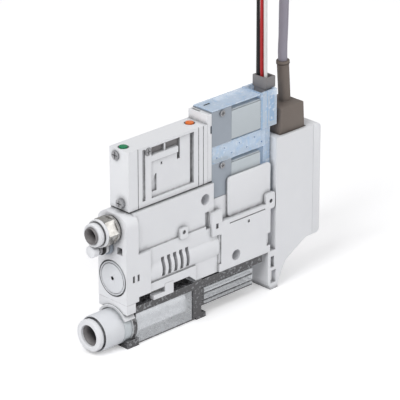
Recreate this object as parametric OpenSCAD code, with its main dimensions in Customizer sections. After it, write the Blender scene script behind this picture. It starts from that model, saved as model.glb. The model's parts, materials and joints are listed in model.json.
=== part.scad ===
// Vacuum ejector unit: ejector, supply and release valves, suction filter and
// pressure sensor in one slim stack, standing on its three feet.
// +X runs from the ports to the sensor, +Y across the width, +Z up, in millimetres.
// Lengths along X are measured from the front face of the body, which carries the ports.

/* [Body] */
// Width of the lower body
body_w = 15; // [14.6:0.1:17]
// Length of the lower body past the pilot valves
body_tail = 3.1; // [2.8:0.1:6]
// Height of the underside of the front block above the floor
body_base = 17.5; // [17.3:0.1:18.5]
// Height of the underside behind the step
body_heel = 16; // [15.8:0.1:16.4]
// Height of the ledge where the lower body steps in
deck_z = 36; // [35.5:0.1:37]
// Height of the top of the lower body, where the valve block sits
body_top = 51.8; // [51.6:0.1:52.4]
// Height of the low shelf under the pilot valves
shelf_z = 45; // [44.5:0.1:45.6]
// Width of the stepped-in upper part of the body
upper_w = 12; // [11.6:0.1:13]
// Length of the full-width port block at the front
port_block_len = 6; // [5:0.1:7]
// Corner radius on top of the port block
port_block_r = 4.5; // [3:0.1:5]
// Width of the flat sides beside the exhaust grille
flank_w = 13.2; // [12.8:0.1:13.6]

/* [Mounting holes] */
// Radius of each mounting hole
mount_r = 2.15; // [1.6:0.05:2.2]
// Distance of the upper mounting hole from the end of the body's upper part
mount_a_back = 4.3; // [4:0.1:5]
// Height of the upper mounting hole
mount_a_z = 46.5; // [45:0.1:47]
// Distance of the lower mounting hole from the body's rear end
mount_b_back = 18; // [16:0.1:19]
// Height of the lower mounting hole
mount_b_z = 20.3; // [19.8:0.1:22]

/* [Ejector] */
// Height of the ejector bore
ejector_z = 26.2; // [26:0.1:26.6]
// Radius of the ejector bore
ejector_r = 5.6; // [5.4:0.05:5.8]
// Depth of the ejector bore
ejector_depth = 45; // [43:0.1:46]
// Radius of the round end plug's head
plug_head_r = 6.5; // [6.2:0.05:6.6]
// Radius of the recess around the end plug's head
plug_recess_r = 7.1; // [6.8:0.05:7.15]
// Number of exhaust slots on each side
vent_count = 5; // [3:1:5]
// Spacing of the exhaust slots
vent_pitch = 3.04; // [2.6:0.02:3.1]
// Width of each exhaust slot
vent_w = 1.55; // [1:0.05:1.6]
// Height of each exhaust slot
vent_h = 7.4; // [6:0.1:7.6]
// Radius of the nozzle's throat
throat_r = 0.6; // [0.4:0.05:0.7]
// Outer radius of the diffuser tube
diffuser_r = 3; // [2.8:0.05:3.1]

/* [Supply port] */
// Height of the supply port's axis
supply_z = 45.9; // [45.6:0.1:46.2]
// Radius of the tube that the supply port takes
supply_tube_r = 3; // [2.9:0.05:3.05]
// Radius of the supply fitting's round flange
supply_flange_r = 5.15; // [5.05:0.05:5.3]
// Width of the supply fitting's hexagon across its flats
supply_hex = 9.4; // [9.2:0.1:9.8]
// Distance from the front face to the tip of the supply port
supply_reach = 9.7; // [9.6:0.1:11]
// Travel of the supply port's release bush
supply_travel = 1; // [0.6:0.1:1]

/* [Vacuum port] */
// Height of the vacuum port's axis
vacuum_z = 7.2; // [7.2:0.05:7.4]
// Radius of the tube that the vacuum port takes
vacuum_tube_r = 4; // [3.9:0.05:4.05]
// Outer radius of the vacuum fitting's barrel
vacuum_barrel_r = 6.9; // [6.8:0.05:7]
// Distance from the front face to the tip of the vacuum port
vacuum_reach = 12.2; // [12:0.1:14]
// Travel of the vacuum port's release bush
vacuum_travel = 1.2; // [0.6:0.1:1.2]

/* [Suction filter] */
// Width of the filter case
case_w = 12.6; // [12.4:0.1:13]
// Height of the filter case's walls
case_h = 13.2; // [13.1:0.1:13.4]
// Height of the top of the case's rails
rail_z = 15.4; // [15.2:0.1:15.6]
// Width over the case's rails
rail_w = 13.6; // [13.2:0.1:14]
// Distance from the front face to the case's middle flange
case_len = 34; // [33.6:0.1:34.6]
// Outer radius of the filter element
element_r = 4.7; // [4.4:0.05:4.8]
// Space between the filter element and the end of its chamber
element_gap = 1; // [0.6:0.1:4]
// Height of the underside of the rear tube
tail_z = 4.2; // [3.8:0.1:4.6]
// Length of the rear tube
tail_len = 28; // [26:0.5:29]

/* [Flow needle] */
// Height of the needle's axis
needle_z = 38.5; // [38.2:0.1:38.7]
// Distance of the needle's axis from the middle plane
needle_y = 2.2; // [2:0.1:2.4]
// Radius of the needle's knob
knob_r = 2.3; // [2.1:0.05:2.35]
// Length of the needle's knob
knob_len = 2.6; // [2.2:0.1:3]
// Radius of the needle's stem
stem_r = 1.5; // [1.3:0.05:1.6]

/* [Valve block] */
// Width of the valve block
block_w = 10; // [9.8:0.1:11]
// Distance from the body's front face to the valve block's front
block_x = 3.8; // [3.6:0.1:4.2]
// Length of the valve block
block_len = 39.1; // [38.8:0.1:40]
// Height of the top of the valve block
block_top = 75.2; // [75:0.1:78]
// Depth of the shallow panel on each wide side
panel_depth = 0.7; // [0.4:0.05:0.9]
// Radius of the spool bores
spool_bore_r = 2.3; // [2.2:0.05:2.4]
// Height of the supply spool
supply_spool_z = 57.3; // [57:0.1:57.5]
// Height of the release spool
release_spool_z = 63.3; // [63.1:0.1:63.6]
// Travel of each spool
spool_travel = 1.5; // [1:0.1:2]
// Radius of the override buttons
button_r = 1.55; // [1.3:0.05:1.6]
// Travel of the override buttons
button_travel = 0.8; // [0.5:0.1:1]
// Thickness of the valve end cap
cap_t = 2.3; // [2:0.1:2.4]
// Height of the top of the valve end cap
cap_top = 78.7; // [78.2:0.1:79]

/* [Pilot valves] */
// Height of the spacer between the pilot valves
spacer_h = 6.8; // [6.4:0.1:7.2]
// Height of one pilot valve
pilot_h = 13.6; // [13.4:0.1:13.8]
// Length of each pilot valve's seat block
seat_len = 10; // [9.6:0.1:10.4]
// Length of each solenoid
solenoid_len = 15.2; // [15:0.1:15.6]
// Length of the connector housing along X
tower_len = 8.4; // [8.2:0.1:8.6]
// Radius of the armatures
armature_r = 1.5; // [1.3:0.05:1.6]
// Travel of the armatures
armature_travel = 0.6; // [0.3:0.1:0.6]
// Width of the wire connector
connector_w = 7; // [6.6:0.1:7.4]
// Length of the wire connector along X
connector_len = 5; // [4.8:0.1:5.2]
// Height of the top of the wire connector
connector_top = 84; // [83:0.1:84]

/* [Sensor] */
// Gap between the lower body and the sensor housing
sensor_gap = 2.8; // [2.6:0.1:3.2]
// Length of the sensor housing with its cover
sensor_len = 23.9; // [23.6:0.1:26]
// Height of the underside of the sensor housing
sensor_z = 16; // [15.8:0.1:17]
// Height of the top of the sensor housing
sensor_top = 61; // [60.6:0.1:61.5]
// Wall thickness of the sensor housing
sensor_wall = 1.2; // [1:0.1:1.4]
// Length of the sensor's rear cover
cover_len = 4.1; // [3.6:0.1:4.4]
// Width of the moulded sensor plug
sensor_plug_w = 12; // [11.6:0.1:12.2]
// Length of the moulded sensor plug at its top
sensor_plug_len = 11.8; // [11.4:0.1:12.2]
// Height of the top of the moulded sensor plug
sensor_plug_top = 71.1; // [70.8:0.1:71.3]
// Radius of the plug's sleeve
sleeve_r = 2.3; // [2.1:0.05:2.4]

/* [Cords] */
// Radius of the sensor cable
cable_r = 1.75; // [1.5:0.05:1.75]
// Length of the straight runs of the folded cable
hank_run = 32.4; // [30:0.2:36]
// Radius of the cable's folds at the middle of its turns
fold_r = 14.1; // [14:0.1:15]
// Number of layers in the folded cable
hank_layers = 5; // [4:1:5]
// Radius of each valve wire
wire_r = 0.65; // [0.5:0.05:0.65]

/* [Hidden] */

// Facets of round solids, and of small round details
$fn = 48;
small_fn = 24;
// Play of pieces that are pressed, glued or screwed home, running clearance, and cut overrun
seat_gap = 0.05;
run_gap = 0.05;
over = 1;

// Overall length without cords, and the place of the front face in the model
block_end = block_x + block_len;
upper_end = block_end + cap_t;
body_len = upper_end + seat_len + solenoid_len + body_tail;
overall_len = vacuum_reach + body_len + sensor_gap + sensor_len;
front_x = vacuum_reach - overall_len / 2;

// Colours
white_grey = [0.88, 0.88, 0.89];
lilac_white = [0.85, 0.85, 0.88];
smoke = [0.32, 0.31, 0.33, 0.8];
slate_blue = [0.55, 0.62, 0.67];
pale_slate = [0.71, 0.76, 0.79];
clear_blue = [0.45, 0.66, 0.85, 0.7];
taupe = [0.41, 0.37, 0.34];
seal_black = [0.08, 0.08, 0.08];
nickel = [0.8, 0.78, 0.75];

// ---- Helpers ----

// Moves the children from the front face's frame to the model's frame
module placed() {
    translate([front_x, 0, 0]) children();
}

// Block between pairs of limits along X, Y and Z
module block(x, y, z) {
    translate([x[0], y[0], z[0]]) cube([x[1] - x[0], y[1] - y[0], z[1] - z[0]]);
}

// Places at the given distances from another place
function beyond(place, steps) = [for (step = steps) place + step];

// Block centred on the middle plane, with its width
module slab(x, w, z) {
    block(x, [-w / 2, w / 2], z);
}

// Round rod along X
module rod(x, r, z, y = 0) {
    translate([x[0], y, z]) rotate([0, 90, 0]) cylinder(h = x[1] - x[0], r = r);
}

// Round rod across the width, along Y
module cross_rod(y, r, x, z) {
    translate([x, y[0], z]) rotate([-90, 0, 0]) cylinder(h = y[1] - y[0], r = r);
}

// Round post along Z
module post(z, r, x, y = 0) {
    translate([x, y, z[0]]) cylinder(h = z[1] - z[0], r = r);
}

// Tube along X
module tube(x, ro, ri, z, y = 0) {
    difference() {
        rod(x, ro, z, y);
        rod([x[0] - over, x[1] + over], ri, z, y);
    }
}

// Solid of revolution about an axis along X; each point gives a place along X and a radius
module turned(points, z, y = 0) {
    translate([0, y, z]) rotate([0, 90, 0]) rotate_extrude()
        polygon([for (p = points) [p[1], p[0]]]);
}

// O-ring about an axis along X
module o_ring(x, r, cord, z, y = 0) {
    translate([x, y, z]) rotate([0, 90, 0]) rotate_extrude()
        translate([r, 0]) circle(cord, $fn = small_fn);
}

// Outline in the XZ plane, given a thickness across the width
module side_profile(points, y) {
    translate([0, y[1], 0]) rotate([90, 0, 0]) linear_extrude(y[1] - y[0]) polygon(points);
}

// The children on both wide sides
module both_sides() {
    children();
    mirror([0, 1, 0]) children();
}

// Rectangle with exact round corners, from its lower left corner
module round_rect(w, h, r) {
    translate([r, 0]) square([w - 2 * r, h]);
    translate([0, r]) square([w, h - 2 * r]);
    for (x = [r, w - r], y = [r, h - r]) translate([x, y]) circle(r, $fn = small_fn);
}

// Plate with round corners in the XZ plane
module round_plate(x, y, z, r) {
    translate([x[0], y[1], z[0]]) rotate([90, 0, 0]) linear_extrude(y[1] - y[0])
        round_rect(x[1] - x[0], z[1] - z[0], r);
}

// ---- Lower body ----

// Ends of the exhaust grille along the body, and of the step in the underside
grille_x = [12, upper_end + 1.5];
heel_x = [case_len - 2.5, case_len + 1.5];
// Underside between the front block and the step, and length of the front block's underside
body_waist = 19.2;
toe_len = 6;
// End and width of the shelf under the pilot valves
shelf_end = body_len - 0.9;
shelf_w = 10.4;
// Ledge along the foot of the grille
ledge_z = 22.5;
ledge_w = body_w - 0.6;
// Hooks between the front block and the step, just above the case's rails
hook_x = [13.5, 23.4];
hook_z = rail_z + 0.1;
hook_t = 1.7;
hook_y = [body_w / 2 - 2.3, body_w / 2 - 0.2];
// Ears beside the connector housing, and a small one on the ledge of the deck
ear_x = [body_len - 2.5, body_len + 2.3];
ear_z = [deck_z - 2.5, deck_z + 4];
lug_x = [27, 31];
lug_z = [deck_z - 1, deck_z + 3.4];
// Clip beside the pilot valves' seats, and the slot in front of it
clip_x = [upper_end - 2.2, upper_end + 3];
clip_z = [deck_z - 4.7, deck_z + 4.7];
clip_slot_x = [upper_end - 4.5, upper_end - 2.4];
// First exhaust slot, and the slots' middle a little above the ejector's axis
vent_x0 = grille_x[0] + 5.8;
vent_z = ejector_z + 1;
// Vacuum passages and the check valve's chamber
check_x = body_len - 10.5;
check_r = 3.2;
check_top = 22;
passage_r = 1.5;
cross_way_r = 1.2;
cross_way_z = 27;
needle_way_r = 0.6;
// Seats of the fittings in the body
supply_seat_r = 4.2;
supply_seat_len = 8;
holder_r = 2.2;
holder_len = 5;
needle_bore_len = 12;
supply_bore_len = 16;
riser_x = 13;
// Hole of the sensor's spigot
spigot_r = 2.2;
spigot_z = 29;
spigot_len = 3.5;
// Square pocket beside the needle
square_y = [-5.3, -2.5];
square_z = [36.7, 39.5];
square_depth = 3;

// Outline of the lower body from the side
body_outline = [[0, body_base], [toe_len, body_base], [toe_len, body_waist],
    [heel_x[0], body_waist], [heel_x[1], body_heel], [body_len, body_heel],
    [body_len, deck_z], [0, deck_z]];

// Port block with round upper corners
module port_block() {
    block([0, port_block_len], [-body_w / 2, body_w / 2], [body_base, body_top - port_block_r]);
    slab([0, port_block_len], body_w - 2 * port_block_r, [body_base, body_top]);
    for (s = [-1, 1])
        rod([0, port_block_len], port_block_r, body_top - port_block_r,
            s * (body_w / 2 - port_block_r));
}

// Hooks that hold the filter case's rails
module case_hooks() both_sides() {
    block([hook_x[1] - 4.3, hook_x[1]], hook_y, [hook_z, body_waist + 1]);
    block(hook_x, hook_y, [hook_z, hook_z + hook_t]);
}

module body_solid() {
    intersection() {
        side_profile(body_outline, [-body_w / 2, body_w / 2]);
        union() {
            slab([0, grille_x[0]], body_w, [0, deck_z]);
            slab([grille_x[0] - over, grille_x[1] + over], flank_w, [0, deck_z]);
            slab([grille_x[1], body_len], body_w, [0, deck_z]);
            rod(grille_x, body_w / 2, ejector_z);
            slab([grille_x[0] - over, case_len + 1], ledge_w, [0, ledge_z]);
        }
    }
    port_block();
    slab([port_block_len - over, upper_end], upper_w, [deck_z - over, body_top]);
    slab([upper_end - over, shelf_end], shelf_w, [deck_z - over, shelf_z]);
    case_hooks();
    both_sides() {
        round_plate(ear_x, [upper_w / 2 + 0.3, body_w / 2], ear_z, 1);
        round_plate(lug_x, [upper_w / 2 - over, body_w / 2 - 0.3], lug_z, 1);
        block(clip_x, [upper_w / 2 - over, body_w / 2], clip_z);
    }
}

module body_bores() {
    rod([-over, ejector_depth], ejector_r, ejector_z);
    rod([-over, 1.6], plug_recess_r, ejector_z);
    rod([-over, supply_seat_len], supply_seat_r + seat_gap, supply_z);
    rod([supply_seat_len - over, supply_bore_len], 2, supply_z);
    post([supply_z, body_top + over], passage_r, riser_x);
    rod([-over, holder_len], holder_r + seat_gap, needle_z, needle_y);
    rod([holder_len - over, needle_bore_len], stem_r + 0.2, needle_z, needle_y);
    block([-over, square_depth], square_y, square_z);
    // Chamber of the check valve, and the way from it to the ejector and to the sensor
    post([0, check_top], check_r, check_x);
    post([check_top - over, cross_way_z], cross_way_r, check_x);
    rod([ejector_depth - over, body_len - spigot_len + over], cross_way_r, cross_way_z);
    // Way from the needle down to the chamber in front of the nozzle
    post([ejector_z, needle_z], needle_way_r, plug_len + 0.9, needle_y);
    rod([body_len - spigot_len, body_len + over], spigot_r + seat_gap, spigot_z);
    cross_rod([-body_w, body_w], mount_r, upper_end - mount_a_back, mount_a_z);
    cross_rod([-body_w, body_w], mount_r, body_len - mount_b_back, mount_b_z);
    for (i = [0:vent_count - 1])
        slab([vent_x0 + i * vent_pitch, vent_x0 + i * vent_pitch + vent_w], body_w + 2 * over,
            [vent_z - vent_h / 2, vent_z + vent_h / 2]);
    both_sides() side_details();
}

// Fine slots, pockets and pin holes of the moulding, on one wide side
module side_details() {
    skin = [-body_w, 0.5 - body_w / 2];
    for (x = [3, 5.3]) block([x, x + 1], [-body_w, 0.9 - body_w / 2],
        [vent_z - 1.6, vent_z + 1]);
    block([body_len - 1.9, body_len + over], [-body_w, 1.2 - body_w / 2],
        [body_heel + 2.8, body_heel + 7.9]);
    block([grille_x[1], grille_x[1] + 1], skin, [body_waist, deck_z - 5]);
    block([grille_x[1] + 5.3, body_len - 2.8], skin, [deck_z - 2, deck_z - 1.6]);
    block([body_len - 12, body_len - 11], skin, [deck_z - 4.5, deck_z - 3.4]);
    block(clip_slot_x, [-body_w, 1 - upper_w / 2], [deck_z - 1.3, deck_z + 5.3]);
    block([clip_x[0] + 2, clip_x[0] + 3.2], [-body_w, 1 - body_w / 2],
        [deck_z - 2, deck_z]);
    cross_rod([-body_w, 1 - body_w / 2], 0.8, ear_x[0] + 2.7, ear_z[0] + 3.1);
    cross_rod([-body_w, 1 - body_w / 2], 0.8, lug_x[0] + 2, lug_z[0] + 2.6);
}

module ejector_body() color(white_grey) placed() difference() {
    body_solid();
    body_bores();
}

// ---- Ejector ----

plug_len = 6.2;
nozzle_x = 8;
nozzle_flange = 4;
nozzle_len = 6.4;
mixing_gap = 0.6;
diffuser_x = [nozzle_x + nozzle_len + mixing_gap, ejector_depth - 4];
silencer_x = [diffuser_x[0] + 2, diffuser_x[1] - 5];

module end_plug() color(lilac_white) placed() difference() {
    union() {
        rod([-0.2, 1.6], plug_head_r, ejector_z);
        rod([1, plug_len], ejector_r - seat_gap, ejector_z);
    }
    // Groove and dimple of the face, groove of the seal, and a hollow at the back
    tube([-0.2 - over, 0], plug_head_r - 0.5, plug_head_r - 0.8, ejector_z);
    rod([-0.2 - over, 0.2], 0.7, ejector_z);
    tube([3, 4.4], ejector_r + over, ejector_r - 1, ejector_z);
    rod([2.6, plug_len + over], 3.6, ejector_z);
}

module nozzle() color(nickel) placed() turned([[nozzle_x, throat_r + 1.2],
    [nozzle_x, ejector_r - seat_gap], [nozzle_x + nozzle_flange, ejector_r - seat_gap],
    [nozzle_x + nozzle_flange, 2.6], [nozzle_x + nozzle_len, 1.6],
    [nozzle_x + nozzle_len, throat_r + 0.4], [nozzle_x + nozzle_flange, throat_r]], ejector_z);

module diffuser() color(white_grey) placed() turned([[diffuser_x[0], 2],
    [diffuser_x[0], diffuser_r], [diffuser_x[1] - 3, diffuser_r],
    [diffuser_x[1] - 3, ejector_r - seat_gap], [diffuser_x[1], ejector_r - seat_gap],
    [diffuser_x[1], 1.9], [diffuser_x[0] + 5, 1]], ejector_z);

module silencer() color([0.93, 0.93, 0.9]) placed()
    tube(silencer_x, ejector_r - seat_gap, diffuser_r + 0.4, ejector_z);

ring_cord = 0.48;

module seal_rings() color(seal_black) placed() {
    o_ring(3.7, ejector_r - 0.5, ring_cord, ejector_z);
    o_ring(-3.6, stem_r + ring_cord + 0.1, ring_cord + 0.02, needle_z, needle_y);
    tube([-0.5, 0], supply_flange_r - 0.1, supply_seat_r + 0.1, supply_z);
}

check_disc_r = check_r - 0.4;
check_travel = 1.2;

module check_valve() color(seal_black) placed() {
    post([body_heel + seat_gap, body_heel + seat_gap + 1.2], check_disc_r, check_x);
    post([body_heel + seat_gap + 1.2, body_heel + seat_gap + 3.4], 1, check_x);
}

// ---- Supply port ----

// Places along the supply fitting, measured forwards from the front face
supply_hex_end = -1.2;
supply_guide_x = [-7.2, -6];
supply_collar_r = 4.4;
supply_bush_r = supply_tube_r + 0.95;
supply_bush_end = -4.6;
supply_bore_r = supply_tube_r + seat_gap;

module supply_fitting() color(nickel) placed() difference() {
    union() {
        translate([supply_guide_x[1], 0, supply_z]) rotate([0, 90, 0]) rotate([0, 0, 30])
            cylinder(h = supply_hex_end - supply_guide_x[1], r = supply_hex / sqrt(3), $fn = 6);
        rod([supply_hex_end - over / 2, -0.5], supply_flange_r, supply_z);
        rod([-over, supply_seat_len], supply_seat_r, supply_z);
    }
    rod([supply_guide_x[1] - over, -0.2], supply_bush_r + run_gap, supply_z);
    rod([-over, supply_seat_len + over], supply_bore_r, supply_z);
}

module supply_guide() color(white_grey) placed()
    tube(supply_guide_x, supply_flange_r + 0.1, supply_collar_r + 0.1, supply_z);

module supply_release_bush() color(white_grey) placed() difference() {
    union() {
        rod([-supply_reach, supply_guide_x[0] - 0.3], supply_collar_r, supply_z);
        rod([-supply_reach + over, supply_bush_end], supply_bush_r, supply_z);
    }
    rod([-supply_reach - over, 0], supply_bore_r, supply_z);
}

module supply_collet() color(nickel) placed()
    tube([-3.3, -1.5], supply_bush_r, supply_bore_r, supply_z);

module supply_seal() color(seal_black) placed()
    tube([-1.4, -0.2], supply_bush_r, supply_bore_r, supply_z);

// ---- Vacuum port and filter ----

// Places along the vacuum fitting, measured forwards from the front face
barrel_x = [-9.5, -0.5];
vacuum_collar_r = 6.1;
vacuum_bush_r = vacuum_tube_r + 1.4;
vacuum_bush_end = -6.9;
vacuum_bore_r = vacuum_tube_r + seat_gap;
neck_r = vacuum_tube_r + 1.1;
neck_end = 7.6;
flange_x = [3, 6];
mid_flange_x = [case_len, case_len + 4];
tail_end = mid_flange_x[1] + tail_len;
rail_x = [5, body_len - 3.5];
case_hollow_r = 5.2;
chamber_end = mid_flange_x[0] - 2;
element_x = [flange_x[1] + 3, chamber_end - element_gap];

adapter_x = [0, 4.4];
adapter_base = vacuum_z + 6.4;

module port_adapter() color(white_grey) placed() difference() {
    slab(adapter_x, body_w, [adapter_base, body_base]);
    rod([-over, adapter_x[1] + over], vacuum_barrel_r + 0.3, vacuum_z);
}

module vacuum_fitting() color(lilac_white) placed() difference() {
    union() {
        rod(barrel_x, vacuum_barrel_r, vacuum_z);
        rod([-over, neck_end], neck_r, vacuum_z);
    }
    rod([barrel_x[0] - over, barrel_x[0] + 1.5], vacuum_collar_r + 0.2, vacuum_z);
    rod([barrel_x[0], -0.8], vacuum_bush_r + run_gap, vacuum_z);
    rod([-over, 4], vacuum_bore_r, vacuum_z);
    rod([3, neck_end + over], 3.2, vacuum_z);
}

module vacuum_release_bush() color(white_grey) placed() difference() {
    union() {
        rod([-vacuum_reach, barrel_x[0] - 0.5], vacuum_collar_r, vacuum_z);
        rod([-vacuum_reach + over, vacuum_bush_end], vacuum_bush_r, vacuum_z);
    }
    rod([-vacuum_reach - over, 0], vacuum_bore_r, vacuum_z);
}

module vacuum_collet() color(nickel) placed()
    tube([-5.5, -2.9], vacuum_bush_r, vacuum_bore_r, vacuum_z);

module vacuum_seal() color(seal_black) placed()
    tube([-2.7, -0.9], vacuum_bush_r, vacuum_bore_r, vacuum_z);

module case_ring() color([0.8, 0.83, 0.85]) placed()
    tube([barrel_x[1], flange_x[0]], vacuum_barrel_r, neck_r + seat_gap, vacuum_z);

tube_z = (tail_z + case_h) / 2;
tube_outer_r = (case_h - tail_z) / 2;
tail_w = case_w - 1.4;
// Heights of the long grooves on the rear tube's sides
tail_groove_z = [tail_z + 1.4, tube_z - 0.4, case_h - 2.2];

module case_solid() {
    rod(flange_x, vacuum_z - 0.05, vacuum_z);
    // Front foot, cut away around the ring
    difference() {
        slab([0.4, flange_x[1]], body_w - 0.6, [0, 3]);
        rod([-over, flange_x[0]], vacuum_barrel_r + 0.1, vacuum_z);
    }
    slab([flange_x[1] - over, mid_flange_x[0] + over], case_w, [0.2, case_h]);
    slab(rail_x, rail_w, [case_h - 0.6, case_h + 0.6]);
    both_sides() block(rail_x, [-rail_w / 2, 1.4 - rail_w / 2], [case_h, rail_z]);
    // Middle flange with its foot, and the seat of the check valve
    slab(mid_flange_x, rail_w, [1, body_heel]);
    slab([mid_flange_x[0] + 1.5, mid_flange_x[1] + 2.3], rail_w, [0, 2]);
    slab([check_x - 4, check_x + 4], 8, [case_h, body_heel]);
    difference() {
        slab([mid_flange_x[1] - over, tail_end], tail_w, [tail_z, case_h]);
        both_sides() for (z = tail_groove_z)
            block([mid_flange_x[1], tail_end + over], [-tail_w, 0.4 - tail_w / 2], [z, z + 0.8]);
    }
}

module filter_case() color(smoke) placed() difference() {
    case_solid();
    rod([flange_x[0] - over, chamber_end], case_hollow_r, vacuum_z);
    rod([mid_flange_x[0] - 3, mid_flange_x[1] + 1], 2.2, tube_z);
    rod([mid_flange_x[1], tail_end + over], tube_outer_r - 1, tube_z);
    post([tube_z, body_heel + over], passage_r, check_x);
}

module filter_element() color([0.9, 0.9, 0.92]) placed()
    tube(element_x, element_r, element_r - 1.8, vacuum_z);

module rear_plug() color([0.7, 0.75, 0.76]) placed() {
    rod([tail_end - 2, tail_end + 0.6], tube_outer_r - 1 - seat_gap, tube_z);
    rod([tail_end + 0.5, tail_end + 2.5], 1.6, tube_z);
}

// ---- Flow needle ----

// The knob's face stays clear of the supply fitting's hexagon
needle_face = supply_guide_x[1] - 0.15;
grip_x = [needle_face + 0.4, -4.3];
grip_r = stem_r + 0.4;
lock_nut_r = 2.45;
needle_tip = [9, 11];

module needle() color(white_grey) placed() {
    rod([needle_face - knob_len, needle_face], knob_r, needle_z, needle_y);
    rod(grip_x, grip_r, needle_z, needle_y);
    rod([needle_face - over, needle_tip[0]], stem_r, needle_z, needle_y);
    rod([needle_tip[0] - over, needle_tip[1]], 0.7, needle_z, needle_y);
}

module needle_lock_nut() color(white_grey) placed()
    tube([-2.9, -1.5], lock_nut_r, stem_r + run_gap, needle_z, needle_y);

module needle_holder() color(pale_slate) placed() difference() {
    union() {
        rod([-1.4, 0], 3.05, needle_z, needle_y);
        rod([-over, holder_len], holder_r, needle_z, needle_y);
    }
    rod([-2 * over, holder_len + over], stem_r + run_gap, needle_z, needle_y);
    // Relief for the supply fitting's flange
    rod([-2 * over, 0], supply_flange_r + 0.1, supply_z);
}

// ---- Valve block ----

gasket_t = 0.5;
block_base = body_top + gasket_t;
cap_x = [block_end, upper_end];
panel_x = [block_x + 6.6, block_end - 8.2];
panel_z = [block_base + 2.2, block_top - 0.9];
panel_skin = panel_depth - block_w / 2;
pillar_x = beyond(panel_x[0], [1.5, 4.5]);
panel_screw = [(pillar_x[0] + pillar_x[1]) / 2, block_top - 2.2];
panel_screw_r = 1.45;
// Windows, hook, bar, slot and notch of the panel, along it and down from the block's top
window_x = [beyond(panel_x[0], [5.2, 11.3]), beyond(panel_x[0], [12.1, 19.2])];
window_z = beyond(block_top, [-4.1, -1.4]);
bar_end_x = beyond(window_x[1][1], [-1.4, 0]);
bar_end_z = block_top - 9.4;
bar_r = 1.25;
bar_z = window_z[0] - bar_r - 0.05;
slot_x = beyond(panel_x[0], [5.1, 7, 7.6]);
slot_z = beyond(block_top, [-18.5, -15, -12]);
notch_x = beyond(panel_x[0], [9.7, 10.5]);
notch_z = beyond(block_top, [-9.2, -8.2]);
seam_x = [block_x + 4.4, block_end - 4.6, block_end - 2.2];
pocket_y = 1.7 - block_w / 2;
spool_x = [block_x + 4.2, block_end];
button_y = 0.7;
supply_button_x = block_x + 2.8;
release_button_x = block_end - 3.5;
front_screw = [-1.3, block_base + 2.7];
button_len = 5;
button_proud = 0.4;
spring_len = 3;

module valve_gasket() color([0.25, 0.25, 0.26]) placed() difference() {
    slab([block_x + 0.3, upper_end - 0.4], block_w - 1, [body_top, block_base]);
    post([body_top - over, block_base + over], passage_r, riser_x);
}

// One sprung button's stepped hole, open at the top
module button_hole(x) {
    post([block_top - button_len - spring_len, block_top + over], button_r + run_gap,
        x, button_y);
    post([block_top - 0.4, block_top + over], button_r + 0.5, x, button_y);
}

module valve_block() color(white_grey) placed() difference() {
    slab([block_x, block_end], block_w, [block_base, block_top]);
    for (z = [supply_spool_z, release_spool_z])
        rod([spool_x[0], block_end + over], spool_bore_r, z);
    button_hole(supply_button_x);
    button_hole(release_button_x);
    post([block_base - over, supply_spool_z], passage_r, riser_x);
    both_sides() panel_details();
    cross_rod([-block_w, panel_skin], panel_screw_r + 0.15, panel_screw[0], panel_screw[1]);
    cross_rod([-block_w, 2.6 - block_w / 2], 0.75, panel_screw[0], panel_screw[1]);
    rod([block_x - over, block_x + 3.4], 1, front_screw[1], front_screw[0]);
}

// Recessed panel with its pillar, bar, windows and slot, on one wide side
module panel_details() {
    difference() {
        block(panel_x, [-block_w, panel_skin], panel_z);
        block(pillar_x, [-block_w, 0], [block_base, block_top]);
        rod([pillar_x[1] - over, bar_end_x[0] + 0.4], bar_r, bar_z, panel_skin);
    }
    for (x = window_x) block(x, [-block_w, pocket_y], window_z);
    block(bar_end_x, [-block_w, pocket_y], [bar_end_z, window_z[0] + over]);
    block([panel_x[1], panel_x[1] + 1.4], [-block_w, pocket_y], panel_z);
    translate([0, pocket_y - 0.3, 0]) rotate([90, 0, 0]) linear_extrude(height = block_w)
        polygon([[slot_x[0], slot_z[0]], [slot_x[2], slot_z[0]], [slot_x[2], slot_z[2]],
            [slot_x[1], slot_z[2]], [slot_x[0], slot_z[1]]]);
    block(notch_x, [-block_w, pocket_y - 0.3], notch_z);
    for (x = seam_x)
        block([x, x + 0.3], [-block_w, 0.3 - block_w / 2], [block_base - over, block_top + over]);
}

// Spool with waists between its lands; it fills its bore but for its travel
module spool(z) {
    ends = [spool_x[0] + 0.5, block_end - 0.3 - spool_travel];
    pitch = (ends[1] - ends[0]) / 4;
    difference() {
        rod(ends, spool_bore_r - run_gap, z);
        for (i = [0:2]) translate([ends[0] + pitch * (i + 0.7), 0, 0])
            tube([0, pitch * 0.6], spool_bore_r + over, spool_bore_r / 2, z);
    }
}

module supply_spool() color(nickel) placed() spool(supply_spool_z);

module release_spool() color(nickel) placed() spool(release_spool_z);

module button(x) {
    post([block_top - button_len, block_top + button_proud], button_r, x, button_y);
}

module supply_override() color([0.1, 0.55, 0.3]) placed() button(supply_button_x);

module release_override() color([0.9, 0.4, 0.1]) placed() button(release_button_x);

// Return spring under an override button, as a sleeve
module button_spring(x) {
    translate([0, 0, block_top - button_len - spring_len]) difference() {
        post([0, spring_len], button_r - 0.1, x, button_y);
        post([-over, spring_len + over], button_r - 0.6, x, button_y);
    }
}

module supply_override_spring() color(nickel) placed() button_spring(supply_button_x);

module release_override_spring() color(nickel) placed() button_spring(release_button_x);

module valve_end_cap() color(white_grey) placed() difference() {
    slab(cap_x, block_w, [block_base, cap_top]);
    block([cap_x[0] + 0.7, cap_x[1] - 0.6], [0, 4], [cap_top - 1.5, cap_top + over]);
    both_sides() block([cap_x[1] - 0.7, cap_x[1] + over], [-block_w, 0.8 - block_w / 2],
        [71, 73.9]);
}

// ---- Pilot valves ----

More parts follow.
